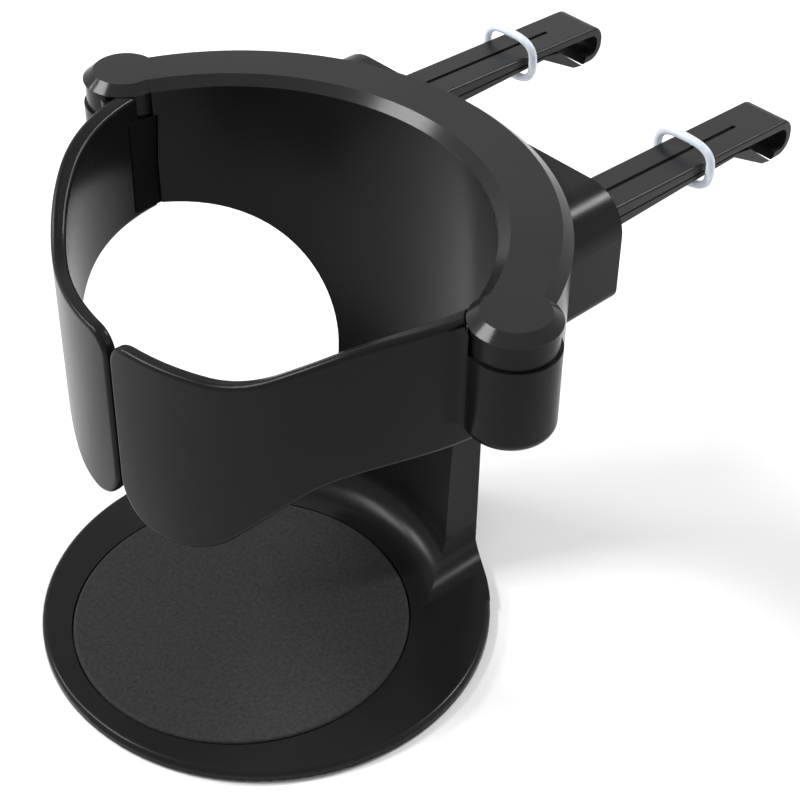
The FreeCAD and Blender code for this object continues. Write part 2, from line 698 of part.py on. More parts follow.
def arm_root_blend(body):
    """Hollow corner between the arm's outer face and the barrel."""
    span = "sqrt(hinge_x ^ 2 + (arm_centre - hinge_y) ^ 2)"
    from_arm = "(arm_radius + arm_root_fillet)"
    from_barrel = "(barrel_radius + arm_root_fillet)"
    along = "((%s ^ 2 - %s ^ 2 + %s ^ 2) / (2 * %s))" % (from_arm, from_barrel, span, span)
    off = "sqrt(%s ^ 2 - %s ^ 2)" % (from_arm, along)
    run = "(hinge_x / %s)" % span
    fall = "((arm_centre - hinge_y) / %s)" % span
    centre_x = "(%s * %s - %s * %s)" % (run, along, fall, off)
    centre_y = "(arm_centre - %s * %s - %s * %s)" % (fall, along, run, off)
    arm_share = "(arm_radius / %s)" % from_arm
    barrel_share = "(barrel_radius / %s)" % from_barrel
    foot = "(barrel_bottom + barrel_edge)"
    head = "(arm_top_side - arm_edge)"
    filling = new_sketch(body, "arm_root_filling", "XY_Plane", foot)
    outline(filling, [
        ("%s * %s" % (centre_x, arm_share), "arm_centre + (%s - arm_centre) * %s" % (centre_y, arm_share)),
        ("hinge_x + (%s - hinge_x) * %s" % (centre_x, barrel_share),
         "hinge_y + (%s - hinge_y) * %s" % (centre_y, barrel_share)),
        ("hinge_x - barrel_radius * 0.75", "hinge_y - barrel_radius * 0.3"),
    ])
    pad(body, filling, "%s - %s" % (head, foot))
    hollow = new_sketch(body, "arm_root_hollow", "XY_Plane", foot + " - 1")
    circle(hollow, centre_x, centre_y, "arm_root_fillet")
    pocket(body, hollow, "%s - %s + 2" % (head, foot), reverse=True)


def hinge_block(body):
    """Upright block on the arm's inner face, just inside the barrel."""
    inner = "(hinge_x - barrel_radius - hinge_block_inside)"
    sketch = new_sketch(body, "hinge_block", "XY_Plane", "hinge_block_low")
    rectangle(sketch, inner, "hinge_y - hinge_block_front",
              inner + " + hinge_block_width", "hinge_y + hinge_block_back")
    pad(body, sketch, BARREL_TOP + " - hinge_block_low")


def right_arm():
    body = new_body("right_arm")
    low = "(arm_low_front - 1)"
    tall = "rim_height - %s" % low
    outer = new_sketch(body, "arm_outer_face", "XY_Plane", low)
    circle(outer, "0", "arm_centre", "arm_radius")
    pad(body, outer, tall)
    inner = new_sketch(body, "arm_inner_face", "XY_Plane", low)
    circle(inner, "0", "arm_inner_centre", "arm_inner_radius")
    pocket(body, inner, tall, reverse=True)
    behind = new_sketch(body, "arm_behind_hinge", "XY_Plane", low)
    rectangle(behind, "-arm_radius - 5", "hinge_y", "arm_radius + 5", "arm_centre + arm_radius + 5")
    pocket(body, behind, tall, reverse=True)
    frame = new_sketch(body, "arm_side_frame", "XZ_Plane")
    rectangle(frame, "-arm_radius - 5", low + " - 5", "arm_radius + 5", "rim_height + 5")
    arm_side_outline(frame)
    pocket(body, frame, "4 * arm_radius", both_sides=True)
    soften(body, "arm_edge", on_arm_rim)
    barrel = new_sketch(body, "barrel", "XZ_Plane", "-hinge_y", "hinge_x")
    outline(barrel, [
        ("0", "barrel_bottom"),
        ("barrel_radius", "barrel_bottom", "barrel_edge"),
        ("barrel_radius", BARREL_TOP),
        ("0", BARREL_TOP),
    ])
    revolve(body, barrel)
    arm_root_blend(body)
    hinge_block(body)
    notch = new_sketch(body, "post_notch", "XY_Plane", BARREL_TOP)
    circle(notch, "hinge_x", "hinge_y", "cap_end_radius + post_notch")
    pocket(body, notch, "rim_height - %s + 1" % BARREL_TOP, reverse=True)
    bore = new_sketch(body, "pivot_bore", "XY_Plane", "barrel_bottom")
    circle(bore, "hinge_x", "hinge_y", "pivot_radius + running_clearance")
    pocket(body, bore, "%s - barrel_bottom" % BARREL_TOP, reverse=True)
    spring_space = new_sketch(body, "spring_pocket", "XY_Plane", POCKET_FLOOR)
    circle(spring_space, "hinge_x", "hinge_y", "spring_pocket_radius")
    pocket(body, spring_space, "spring_pocket_depth + 1", reverse=True)
    slot = new_sketch(body, "spring_leg_slot", "XY_Plane", POCKET_FLOOR)
    rectangle(slot, "hinge_x + spring_radius", "hinge_y - spring_wire * 0.75",
              "hinge_x + (spring_pocket_radius + barrel_radius) / 2", "hinge_y + spring_wire * 0.75")
    pocket(body, slot, "spring_pocket_depth + 1", reverse=True)
    washer_space = new_sketch(body, "washer_pocket", "XY_Plane", "barrel_bottom")
    circle(washer_space, "hinge_x", "hinge_y", "washer_pocket_radius")
    pocket(body, washer_space, "washer_pocket_depth", reverse=True)
    return body


def left_arm(arm):
    mirror = doc.addObject("Part::Mirroring", "left_arm")
    mirror.Source = arm
    mirror.Base = FreeCAD.Vector(0, 0, 0)
    mirror.Normal = FreeCAD.Vector(1, 0, 0)
    return mirror


# hinge hardware

def arm_spring(side, sign):
    """Torsion spring: a coil round the pivot, a leg in the arm and a leg up into the post."""
    radius = number("spring_radius")
    wire = number("spring_wire")
    pitch = number("spring_pitch")
    height = pitch * number("spring_turns")
    coil_low = number(POCKET_FLOOR) + wire / 2 + 0.1
    coil = Part.makeHelix(pitch, height, radius)
    start = Part.makeCircle(wire / 2, FreeCAD.Vector(radius, 0, 0), FreeCAD.Vector(0, 1, pitch / (2 * math.pi * radius)))
    tube = Part.Wire(coil).makePipeShell([Part.Wire(start)], True, True)
    reach = (number("spring_pocket_radius") + number("barrel_radius")) / 2 - radius - 0.2
    arm_leg = Part.makeCylinder(wire / 2, reach, FreeCAD.Vector(radius, 0, 0), FreeCAD.Vector(1, 0, 0))
    end = coil.Vertexes[-1].Point
    rise = number(POST_BOTTOM + " + spring_leg_depth") - coil_low - height
    post_leg = Part.makeCylinder(wire / 2, rise, end, FreeCAD.Vector(0, 0, 1))
    elbows = [Part.makeSphere(wire / 2, FreeCAD.Vector(radius, 0, 0)), Part.makeSphere(wire / 2, end)]
    shape = tube.fuse([arm_leg, post_leg] + elbows)
    spring = doc.addObject("Part::Feature", side + "_arm_spring")
    if sign < 0:
        shape = shape.mirror(FreeCAD.Vector(0, 0, 0), FreeCAD.Vector(1, 0, 0))
    spring.Shape = shape
    spring.Placement = FreeCAD.Placement(
        FreeCAD.Vector(sign * number("hinge_x"), number("hinge_y"), coil_low), FreeCAD.Rotation())
    return spring


def pivot_washer(side, sign):
    body = new_body(side + "_pivot_washer")
    sketch = new_sketch(body, side + "_washer_sketch", "XZ_Plane")
    hole = "screw_radius + screw_clearance"
    outline(sketch, [
        (hole, "0"),
        ("washer_radius", "0"),
        ("washer_radius", "washer_thickness"),
        (hole, "washer_thickness"),
    ])
    revolve(body, sketch)
    place(body, sign + "hinge_x", "hinge_y", BOSS_END + " - washer_thickness")
    return body


def screw(name, grip, x, y, z):
    """Pan-head self-tapping screw, head down, with a cross recess."""
    body = new_body(name)
    sketch = new_sketch(body, name + "_profile", "XZ_Plane")
    tip = "screw_head_height + " + grip
    outline(sketch, [
        ("0", "0"),
        ("screw_head_radius", "0", "screw_head_height / 2"),
        ("screw_head_radius", "screw_head_height"),
        ("screw_radius", "screw_head_height"),
        ("screw_radius", tip + " - screw_radius"),
        ("screw_radius / 3", tip),
        ("0", tip),
    ])
    revolve(body, sketch)
    reach = "(screw_head_radius * 0.6)"
    half = "(screw_head_radius / 7)"
    for way in ("across", "along"):
        slot = new_sketch(body, name + "_recess_" + way, "XY_Plane")
        x_half, y_half = (reach, half) if way == "across" else (half, reach)
        rectangle(slot, "-" + x_half, "-" + y_half, x_half, y_half)
        pocket(body, slot, "screw_head_height * 0.6", reverse=True)
    place(body, x, y, z)
    return body


def pivot_screw(side, sign):
    seat = BOSS_END + " - washer_thickness - screw_head_height"
    return screw(side + "_pivot_screw", "washer_thickness + screw_grip", sign + "hinge_x", "hinge_y", seat)


# clips, their clamps and rings

def on_clip_rim(edge):
    """The long edges of the clip's top, of its underside and round the outside of the hook."""
    box = edge.BoundBox
    if box.XLength > 0.01:
        return False
    y = (box.YMin + box.YMax) / 2
    z = (box.ZMin + box.ZMax) / 2
    on_top = box.ZMax > number("clip_top_tip") - 0.01
    on_hook = y > number("clip_back - hook_wall / 2 - 0.4")
    on_lip = box.ZMax < number("hook_low") + 0.01 and box.YMin > number("hook_lip") - 0.01
    below = z < number("clip_low_neck") + 0.01 and box.YMax < number("clip_neck") + 0.01
    root_end = box.YLength < 0.01 and y < number("box_back")
    return (on_top or on_hook or on_lip or below) and not root_end


def clip(side, sign):
    """Split clip: upper prong with a hook, lower prong that ends in a finger."""
    body = new_body(side + "_clip")
    sketch = new_sketch(body, side + "_clip_side", "YZ_Plane")
    prong_low = "(clip_top_tip + 0.5 - clip_prong)"
    inner_back = "clip_back - hook_wall"
    outline(sketch, [
        ("clip_root", "clip_low_root"),
        ("clip_slit_start", "clip_low_root"),
        ("clip_neck", "clip_low_neck"),
        ("finger_tip - 2", "hook_low + 0.5"),
        ("finger_tip + 0.4", "hook_low + 0.1"),
        ("clip_neck + 4", prong_low + " - clip_slit - 0.7"),
        ("clip_neck", prong_low + " - clip_slit"),
        ("clip_slit_start", "(clip_top_root + clip_low_root) / 2 - clip_slit"),
        ("clip_slit_start", "(clip_top_root + clip_low_root) / 2"),
        ("clip_neck", prong_low),
        (inner_back, "clip_top_tip - hook_wall", "hook_wall + 0.4"),
        (inner_back, "hook_low + hook_wall", "hook_wall + 0.2"),
        ("hook_lip + 0.5", "hook_low + hook_wall - 0.1"),
        ("hook_lip", "hook_low"),
        ("clip_back", "hook_low", "2 * hook_wall + 0.3"),
        ("clip_back", "clip_top_tip", "2 * hook_wall"),
        ("box_back", "clip_top_root"),
        ("clip_root", "clip_top_root"),
    ])
    pad(body, sketch, "clip_width", both_sides=True)
    soften(body, "clip_edge", on_clip_rim)
    groove = new_sketch(body, side + "_clip_groove", "YZ_Plane")
    slope = "(clip_top_root - clip_top_tip) / (clip_back - box_back)"
    outline(groove, [
        ("box_back + 0.5", "clip_top_root - groove_depth"),
        ("groove_end", "clip_top_root - groove_depth - (groove_end - box_back) * " + slope),
        ("groove_end", "clip_top_root + 1"),
        ("box_back + 0.5", "clip_top_root + 1"),
    ])
    pocket(body, groove, "groove_width", both_sides=True)
    hole = new_sketch(body, side + "_clip_hole", "XY_Plane", "clip_low_root - 1")
    circle(hole, "0", "clip_screw_place", "screw_radius + 3 * screw_clearance")
    pocket(body, hole, "clip_top_root - clip_low_root + 2", reverse=True)
    place(body, sign + "clip_pitch / 2")
    return body


def clip_clamp(side, sign):
    """Plate with a sleeve that presses the clip's root up against the boss in the box."""
    body = new_body(side + "_clip_clamp")
    plate_low = "(wall_bottom + screw_head_height)"
    plate = new_sketch(body, side + "_clamp_plate", "XY_Plane", plate_low)
    half_width = "clamp_width / 2"
    half_length = "clamp_length / 2"
    outline(plate, [
        ("-" + half_width, "-" + half_length, "2"),
        (half_width, "-" + half_length, "2"),
        (half_width, half_length, "2"),
        ("-" + half_width, half_length, "2"),
    ])
    pad(body, plate, "clamp_thickness")
    sleeve = new_sketch(body, side + "_clamp_sleeve", "XY_Plane", plate_low)
    circle(sleeve, "0", "0", "clamp_sleeve_radius")
    pad(body, sleeve, "clip_low_root - seat_clearance - " + plate_low)
    hole = new_sketch(body, side + "_clamp_hole", "XY_Plane", plate_low)
    circle(hole, "0", "0", "screw_radius + screw_clearance")
    pocket(body, hole, "clip_top_root - wall_bottom", reverse=True)
    place(body, sign + "clip_pitch / 2", "clip_screw_place")
    return body


def clip_screw(side, sign):
    grip = "clip_top_root + screw_grip / 2 - wall_bottom - screw_head_height"
    return screw(side + "_clip_screw", grip, sign + "clip_pitch / 2", "clip_screw_place", "wall_bottom")


def clip_ring(side, sign, ring_place):
    """Elastic ring round the clip; sliding it outwards closes the prongs."""
    body = new_body(side + "_clip_ring")
    spine = new_sketch(body, side + "_ring_path", "XZ_Plane")
    half_width = "(clip_width / 2 + ring_clearance + ring_wire / 2)"
    outline(spine, [
        ("0", "-ring_half_height"),
        (half_width, "-ring_half_height", "ring_corner"),
        (half_width, "ring_half_height", "ring_corner"),
        ("-" + half_width, "ring_half_height", "ring_corner"),
        ("-" + half_width, "-ring_half_height", "ring_corner"),
    ])
    section = new_sketch(body, side + "_ring_section", "YZ_Plane")
    circle(section, "0", "-ring_half_height", "ring_wire / 2")
    doc.recompute()
    pipe = body.newObject("PartDesign::AdditivePipe", side + "_ring_pipe")
    pipe.Profile = section
    pipe.Spine = (spine, ["Edge%d" % (i + 1) for i in range(len(spine.Shape.Edges))])
    place(body, sign + "clip_pitch / 2", ring_place, "ring_height")
    return body


def build():
    nodes = {"holder_body": holder_body(), "collar_cap": collar_cap(), "base_pad": base_pad()}
    nodes["right_arm"] = right_arm()
    nodes["left_arm"] = left_arm(nodes["right_arm"])
    pivot_screws = []
    clip_screws = []
    for side, sign in (("left", "-"), ("right", "")):
        nodes[side + "_arm_spring"] = arm_spring(side, -1 if sign else 1)
        nodes[side + "_pivot_washer"] = pivot_washer(side, sign)
        nodes[side + "_clip"] = clip(side, sign)
        nodes[side + "_clip_clamp"] = clip_clamp(side, sign)
        nodes[side + "_clip_ring"] = clip_ring(side, sign, side + "_ring_place")
        pivot_screws.append(pivot_screw(side, sign))
        clip_screws.append(clip_screw(side, sign))
    nodes["pivot_screws"] = group("pivot_screws", *pivot_screws)
    nodes["clip_screws"] = group("clip_screws", *clip_screws)
    doc.recompute()
    return nodes


def write(nodes):
    for item in doc.Objects:
        if "Invalid" in item.State or "Error" in item.State:
            raise RuntimeError("%s failed: %s" % (item.Name, item.State))
    os.makedirs("parts", exist_ok=True)
    for name, item in nodes.items():
        item.Label = name
        shape = item.Shape
        if shape.isNull() or not shape.isValid():
            raise RuntimeError(name + " has no valid shape")
        shape.exportStep("parts/%s.step" % name)
        box = shape.BoundBox
        print("%-20s %2d solids %9.1f mm3  x %.1f..%.1f y %.1f..%.1f z %.1f..%.1f" % (
            name, len(shape.Solids), shape.Volume, box.XMin, box.XMax, box.YMin, box.YMax, box.ZMin, box.ZMax))


write(build())
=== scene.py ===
# %% [markdown]
# # A car water bottle holder in Blender
#
# The holder is a collar with two sprung arms, a leg down to a round base, and two clips that grip
# the blade of an air vent. Its solid parts come from CAD as a fixed frame. What is left to do here
# is what CAD can't give: the grain of the black plastics, the pebbled skin of the pad, the milky
# rings on the clips, the studio light and the camera.
#
# The first step loads the frame. Every CAD part arrives as its own object, already in its place.

# %% Load the CAD frame
import bpy
import bmesh
import math
from mathutils import Matrix, Vector, noise


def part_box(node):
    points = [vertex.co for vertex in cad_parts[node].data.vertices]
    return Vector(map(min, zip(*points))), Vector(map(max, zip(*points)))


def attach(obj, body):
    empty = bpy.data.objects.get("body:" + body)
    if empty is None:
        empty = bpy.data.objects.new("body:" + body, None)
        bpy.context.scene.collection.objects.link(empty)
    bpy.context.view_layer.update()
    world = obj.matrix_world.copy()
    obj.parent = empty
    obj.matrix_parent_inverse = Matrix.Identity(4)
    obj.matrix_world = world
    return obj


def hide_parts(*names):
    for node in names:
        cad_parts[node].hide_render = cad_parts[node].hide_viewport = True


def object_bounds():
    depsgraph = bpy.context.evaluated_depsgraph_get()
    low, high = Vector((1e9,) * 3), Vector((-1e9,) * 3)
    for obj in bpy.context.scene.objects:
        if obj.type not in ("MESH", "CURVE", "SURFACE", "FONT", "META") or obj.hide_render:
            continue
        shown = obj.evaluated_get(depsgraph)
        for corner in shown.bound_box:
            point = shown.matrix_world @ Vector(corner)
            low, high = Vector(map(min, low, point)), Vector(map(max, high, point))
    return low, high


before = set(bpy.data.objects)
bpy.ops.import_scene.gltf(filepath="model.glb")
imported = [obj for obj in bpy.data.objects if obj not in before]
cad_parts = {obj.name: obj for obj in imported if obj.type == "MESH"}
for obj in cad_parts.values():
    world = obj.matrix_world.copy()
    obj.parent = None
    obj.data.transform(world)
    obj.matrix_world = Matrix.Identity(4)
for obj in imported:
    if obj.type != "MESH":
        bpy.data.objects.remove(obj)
cad_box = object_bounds()
print("CAD parts:", ", ".join(sorted(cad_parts)))
print("CAD box:", [[round(v, 4) for v in corner] for corner in cad_box])

# %% [markdown]
# ## The camera
#
# The photograph looks down on the holder from its right front corner, about 39 degrees above the
# horizon. The distance and the focal length belong together: a camera 32 cm away with an 86 mm
# lens gives the same leaning verticals as the picture. `right`, `up` and `back` are the camera's
# own axes, and a small roll tilts the first two.

# %% Place the camera
PICTURE_SIDE = 800
AZIMUTH = math.radians(46.016)
ELEVATION = math.radians(39.367)
ROLL = math.radians(1.132)
DISTANCE = 0.317015
FOCAL_PIXELS = 1917.025
AIM = Vector((0.0, 0.0, 0.040))
SHIFT_RIGHT = 0.027322
SHIFT_UP = 0.009621

back = Vector((math.sin(AZIMUTH) * math.cos(ELEVATION),
               -math.cos(AZIMUTH) * math.cos(ELEVATION),
               math.sin(ELEVATION)))
level_right = Vector((math.cos(AZIMUTH), math.sin(AZIMUTH), 0.0))
level_up = level_right.cross(-back)
right = level_right * math.cos(ROLL) + level_up * math.sin(ROLL)
up = level_up * math.cos(ROLL) - level_right * math.sin(ROLL)
eye = AIM + level_right * SHIFT_RIGHT + level_up * SHIFT_UP + back * DISTANCE

lens = bpy.data.cameras.new("photo_camera")
lens.sensor_fit = "HORIZONTAL"
lens.sensor_width = 36.0
lens.lens = FOCAL_PIXELS * 36.0 / PICTURE_SIDE
lens.clip_start = 0.01
camera = bpy.data.objects.new("photo_camera", lens)
turn = Matrix((right, up, back)).transposed().to_4x4()
camera.matrix_world = Matrix.Translation(eye) @ turn
bpy.context.scene.collection.objects.link(camera)
bpy.context.scene.camera = camera
print("camera at", [round(v, 3) for v in eye], "with a", round(lens.lens, 1), "mm lens")

# %% [markdown]
# ## The floor and the white ground
#
# A product picture stands on white. More lamps would only wash out the black plastic, so the white
# comes from the floor's and the world's own colour: where the camera looks at them directly they
# are white, and where they light the holder they stay soft and grey. Near the holder the floor is
# plain pale paper, which takes the shadow. Further out it fades to the white of the world, so that
# a low look finds no grey horizon.

# %% Mix the white of the ground
def white_for_the_eye(tree, plain, strength_for_eye, share=None):
    """A mix that is white for direct, mirrored and see-through looks, and `plain` for other light.

    `share` is a socket that says how much of that white is wanted at each place."""
    path = tree.nodes.new("ShaderNodeLightPath")
    looks = path.outputs["Is Camera Ray"]
    for kind in ("Is Glossy Ray", "Is Transmission Ray"):
        either = tree.nodes.new("ShaderNodeMath")
        either.operation = "MAXIMUM"
        tree.links.new(looks, either.inputs[0])
        tree.links.new(path.outputs[kind], either.inputs[1])
        looks = either.outputs[0]
    if share is not None:
        partly = tree.nodes.new("ShaderNodeMath")
        partly.operation = "MULTIPLY"
        tree.links.new(looks, partly.inputs[0])
        tree.links.new(share, partly.inputs[1])
        looks = partly.outputs[0]
    mix = tree.nodes.new("ShaderNodeMixShader")
    kind_of_white = "ShaderNodeBackground" if plain.type == "BACKGROUND" else "ShaderNodeEmission"
    white = tree.nodes.new(kind_of_white)
    white.inputs["Color"].default_value = (1, 1, 1, 1)
    white.inputs["Strength"].default_value = strength_for_eye
    tree.links.new(looks, mix.inputs[0])
    tree.links.new(plain.outputs[0], mix.inputs[1])
    tree.links.new(white.outputs[0], mix.inputs[2])
    return mix


print("the white ground is ready for the floor and the air")

# %% [markdown]
# The floor is one large square just under the base. Its paper is a rough pale grey that is almost
# white. The fade starts 30 cm from its middle, beyond most of the shadow, and ends at 80 cm.

# %% Lay the floor
FLOOR_HALF = 3.0
FLOOR_DROP = 0.0002
FADE_START = 0.30
FADE_END = 0.80
PAPER_GREY = 0.93


def lay_floor():
    mesh = bpy.data.meshes.new("studio_floor")
    half = FLOOR_HALF
    level = cad_box[0][2] - FLOOR_DROP
    corners = [(-half, -half, level), (half, -half, level), (half, half, level), (-half, half, level)]
    mesh.from_pydata(corners, [], [(0, 1, 2, 3)])
    floor = bpy.data.objects.new("studio_floor", mesh)
    bpy.context.scene.collection.objects.link(floor)
    paint = bpy.data.materials.new("white_studio_paper")
    paint.use_nodes = True
    tree = paint.node_tree
    shader = tree.nodes["Principled BSDF"]
    shader.inputs["Base Color"].default_value = (PAPER_GREY, PAPER_GREY, PAPER_GREY, 1)
    shader.inputs["Roughness"].default_value = 0.9
    shader.inputs["Specular IOR Level"].default_value = 0.1
    where = tree.nodes.new("ShaderNodeTexCoord")
    away = tree.nodes.new("ShaderNodeVectorMath")
    away.operation = "LENGTH"
    tree.links.new(where.outputs["Object"], away.inputs[0])
    fade = tree.nodes.new("ShaderNodeMapRange")
    fade.interpolation_type = "SMOOTHSTEP"
    fade.inputs["From Min"].default_value = FADE_START
    fade.inputs["From Max"].default_value = FADE_END
    tree.links.new(away.outputs["Value"], fade.inputs["Value"])
    paper = white_for_the_eye(tree, shader, 1.0, fade.outputs["Result"])
    tree.links.new(paper.outputs[0], tree.nodes["Material Output"].inputs["Surface"])
    mesh.materials.append(paint)
    return floor


floor = lay_floor()
print("floor at", round(floor.data.vertices[0].co.z * 1000, 2), "mm")

# %% [markdown]
# ## The light
#
# Black plastic shows its shape by what it mirrors, so each panel hangs where one of the curved
# edges mirrors it towards the camera. The wide one on the left lights the collar's inner bevel and
# the bevel over the right hinge. The low one beside it draws the soft line in the foot's hollow.
# The rear one makes the bright band on the box's rounded shoulder. A weak panel on the right keeps
# that side from going black.

# %% Hang the lamps
def panel(name, place, target, wide, tall, watts):
    light = bpy.data.lights.new(name, "AREA")
    light.shape = "RECTANGLE"
    light.size = wide
    light.size_y = tall
    light.energy = watts
    lamp = bpy.data.objects.new(name, light)
    lamp.location = place
    lamp.rotation_euler = (Vector(target) - Vector(place)).to_track_quat("-Z", "Y").to_euler()
    bpy.context.scene.collection.objects.link(lamp)
    return lamp


middle = (0.0, 0.01, 0.05)
panel("left_panel", (-0.50, -0.50, 0.82), middle, 0.44, 0.28, 10.0)
panel("low_panel", (-0.80, -0.46, 0.55), middle, 0.22, 0.16, 3.2)
panel("rear_panel", (0.25, 0.68, 0.75), middle, 0.20, 0.14, 5.5)
panel("right_panel", (0.80, 0.46, 0.45), middle, 0.20, 0.40, 0.6)

# %% [markdown]
# The air round the holder gives a dim light from all sides, which fills what the panels leave dark.
# Where the camera or a mirroring face looks into it, it is white, as the floor is.

# %% Light the world
AIR_STRENGTH = 0.43

world = bpy.data.worlds.new("studio_air")
world.use_nodes = True
bpy.context.scene.world = world
air = world.node_tree
air_light = air.nodes["Background"]
air_light.inputs["Color"].default_value = (1, 1, 1, 1)
air_light.inputs["Strength"].default_value = AIR_STRENGTH
seen = white_for_the_eye(air, air_light, 1.0)
air.links.new(seen.outputs[0], air.nodes["World Output"].inputs["Surface"])
print("strength of the air on the holder:", AIR_STRENGTH)

# %% [markdown]
# ## Moulded plastic
#
# The holder's plastic is black, with a fine spark-eroded grain that makes it satin instead of shiny.
# The grain is a fraction of a millimetre, so it is a noise of that size fed to a bump. Real
# displacement would ask for millions of faces to say the same.

# %% Make the mould's grain
def mould_grain(tree, where, grain_mm, grain_depth_mm):
    """A bump of fine noise: `grain_mm` is how wide its pits are, `grain_depth_mm` how deep."""
    grain = tree.nodes.new("ShaderNodeTexNoise")
    grain.inputs["Scale"].default_value = 1000.0 / grain_mm
    grain.inputs["Detail"].default_value = 3.0
    grain.inputs["Roughness"].default_value = 0.6
    tree.links.new(where.outputs["Object"], grain.inputs["Vector"])
    relief = tree.nodes.new("ShaderNodeBump")
    relief.inputs["Strength"].default_value = 0.35
    relief.inputs["Distance"].default_value = grain_depth_mm / 1000.0
    tree.links.new(grain.outputs["Fac"], relief.inputs["Height"])
    return relief


print("the mould's grain is ready")

# %% [markdown]
# A second, larger noise moves the gloss up and down by a little, as a real moulding's skin does, and
# a faint cloud in the colour keeps wide faces from looking painted. Black plastic mirrors less than
# the shader's usual setting, so `shine` is low.

# %% Make a plastic
def moulded_plastic(name, colour, gloss, shine, grain_mm, grain_depth_mm, cloud=0.12):
    """Black plastic with its mould's grain: `gloss` is its roughness, `shine` how much it mirrors."""
    skin = bpy.data.materials.new(name)
    skin.use_nodes = True
    tree = skin.node_tree
    shader = tree.nodes["Principled BSDF"]
    where = tree.nodes.new("ShaderNodeTexCoord")
    relief = mould_grain(tree, where, grain_mm, grain_depth_mm)
    tree.links.new(relief.outputs["Normal"], shader.inputs["Normal"])
    flow = tree.nodes.new("ShaderNodeTexNoise")
    flow.inputs["Scale"].default_value = 45.0
    flow.inputs["Detail"].default_value = 4.0
    tree.links.new(where.outputs["Object"], flow.inputs["Vector"])
    sheen_range = tree.nodes.new("ShaderNodeMapRange")
    sheen_range.inputs["From Min"].default_value = 0.3
    sheen_range.inputs["From Max"].default_value = 0.7
    sheen_range.inputs["To Min"].default_value = gloss
    sheen_range.inputs["To Max"].default_value = gloss + 0.06
    tree.links.new(flow.outputs["Fac"], sheen_range.inputs["Value"])
    tree.links.new(sheen_range.outputs["Result"], shader.inputs["Roughness"])
    tint = tree.nodes.new("ShaderNodeValToRGB")
    darker = tuple(c * (1 - cloud) for c in colour)
    lighter = tuple(c * (1 + cloud) for c in colour)
    tint.color_ramp.elements[0].position = 0.3
    tint.color_ramp.elements[0].color = darker + (1,)
    tint.color_ramp.elements[1].position = 0.7
    tint.color_ramp.elements[1].color = lighter + (1,)
    tree.links.new(flow.outputs["Fac"], tint.inputs["Fac"])
    tree.links.new(tint.outputs["Color"], shader.inputs["Base Color"])
    shader.inputs["Specular IOR Level"].default_value = shine
    return skin


print("the plastics' recipe is ready")

# %% [markdown]
# Four plastics share the recipe. The collar is a separate trim with a smoother skin, so it mirrors a
# little more. The clips are a touch greyer and coarser, and the arms are the darkest.

# %% Mix the four plastics
body_plastic = moulded_plastic("satin_black_body", (0.009, 0.009, 0.0094), 0.22, 0.10, 0.25, 0.008)
collar_plastic = moulded_plastic("satin_black_collar", (0.013, 0.013, 0.0134), 0.12, 0.15, 0.25, 0.002)
arm_plastic = moulded_plastic("satin_black_arm", (0.007, 0.007, 0.0073), 0.23, 0.10, 0.25, 0.008)
clip_plastic = moulded_plastic("satin_grey_clip", (0.013, 0.013, 0.0138), 0.28, 0.16, 0.30, 0.010)
print("plastics:", body_plastic.name, collar_plastic.name, arm_plastic.name, clip_plastic.name)

# %% [markdown]
# ## The rubber pad
#
# The pad stops a bottle from sliding, so its rubber is dull and slightly pebbled. Its pebbles are a
# little coarser than the body's grain and its roughness is high. Lighter specks are the dust and
# filler that every black rubber shows in strong light.

# %% Make the rubber
def pebbled_rubber(name, colour):
    skin = bpy.data.materials.new(name)
    skin.use_nodes = True
    tree = skin.node_tree
    shader = tree.nodes["Principled BSDF"]
    shader.inputs["Roughness"].default_value = 0.72
    shader.inputs["Specular IOR Level"].default_value = 0.15
    where = tree.nodes.new("ShaderNodeTexCoord")
    pebbles = tree.nodes.new("ShaderNodeTexVoronoi")
    pebbles.inputs["Scale"].default_value = 3200.0
    tree.links.new(where.outputs["Object"], pebbles.inputs["Vector"])
    relief = tree.nodes.new("ShaderNodeBump")
    relief.inputs["Strength"].default_value = 0.5
    relief.inputs["Distance"].default_value = 0.00004
    tree.links.new(pebbles.outputs["Distance"], relief.inputs["Height"])
    tree.links.new(relief.outputs["Normal"], shader.inputs["Normal"])
    specks = tree.nodes.new("ShaderNodeTexNoise")
    specks.inputs["Scale"].default_value = 1500.0
    specks.inputs["Detail"].default_value = 5.0
    specks.inputs["Roughness"].default_value = 0.8
    tree.links.new(where.outputs["Object"], specks.inputs["Vector"])
    tint = tree.nodes.new("ShaderNodeValToRGB")
    tint.color_ramp.elements[0].position = 0.35
    tint.color_ramp.elements[0].color = tuple(c * 0.7 for c in colour) + (1,)
    tint.color_ramp.elements[1].position = 0.72
    tint.color_ramp.elements[1].color = tuple(c * 1.9 for c in colour) + (1,)
    tree.links.new(specks.outputs["Fac"], tint.inputs["Fac"])
    tree.links.new(tint.outputs["Color"], shader.inputs["Base Color"])
    return skin


pad_rubber = pebbled_rubber("pebbled_black_rubber", (0.019, 0.019, 0.019))
print("rubber:", pad_rubber.name)

# %% [markdown]
# ## Steel for the hidden hardware
#
# The pivot screws, washers and springs sit in the hinges, where a look from below finds them. Zinc
# plating is a pale grey metal with a patchy gloss, and the springs' drawn wire is a little darker.

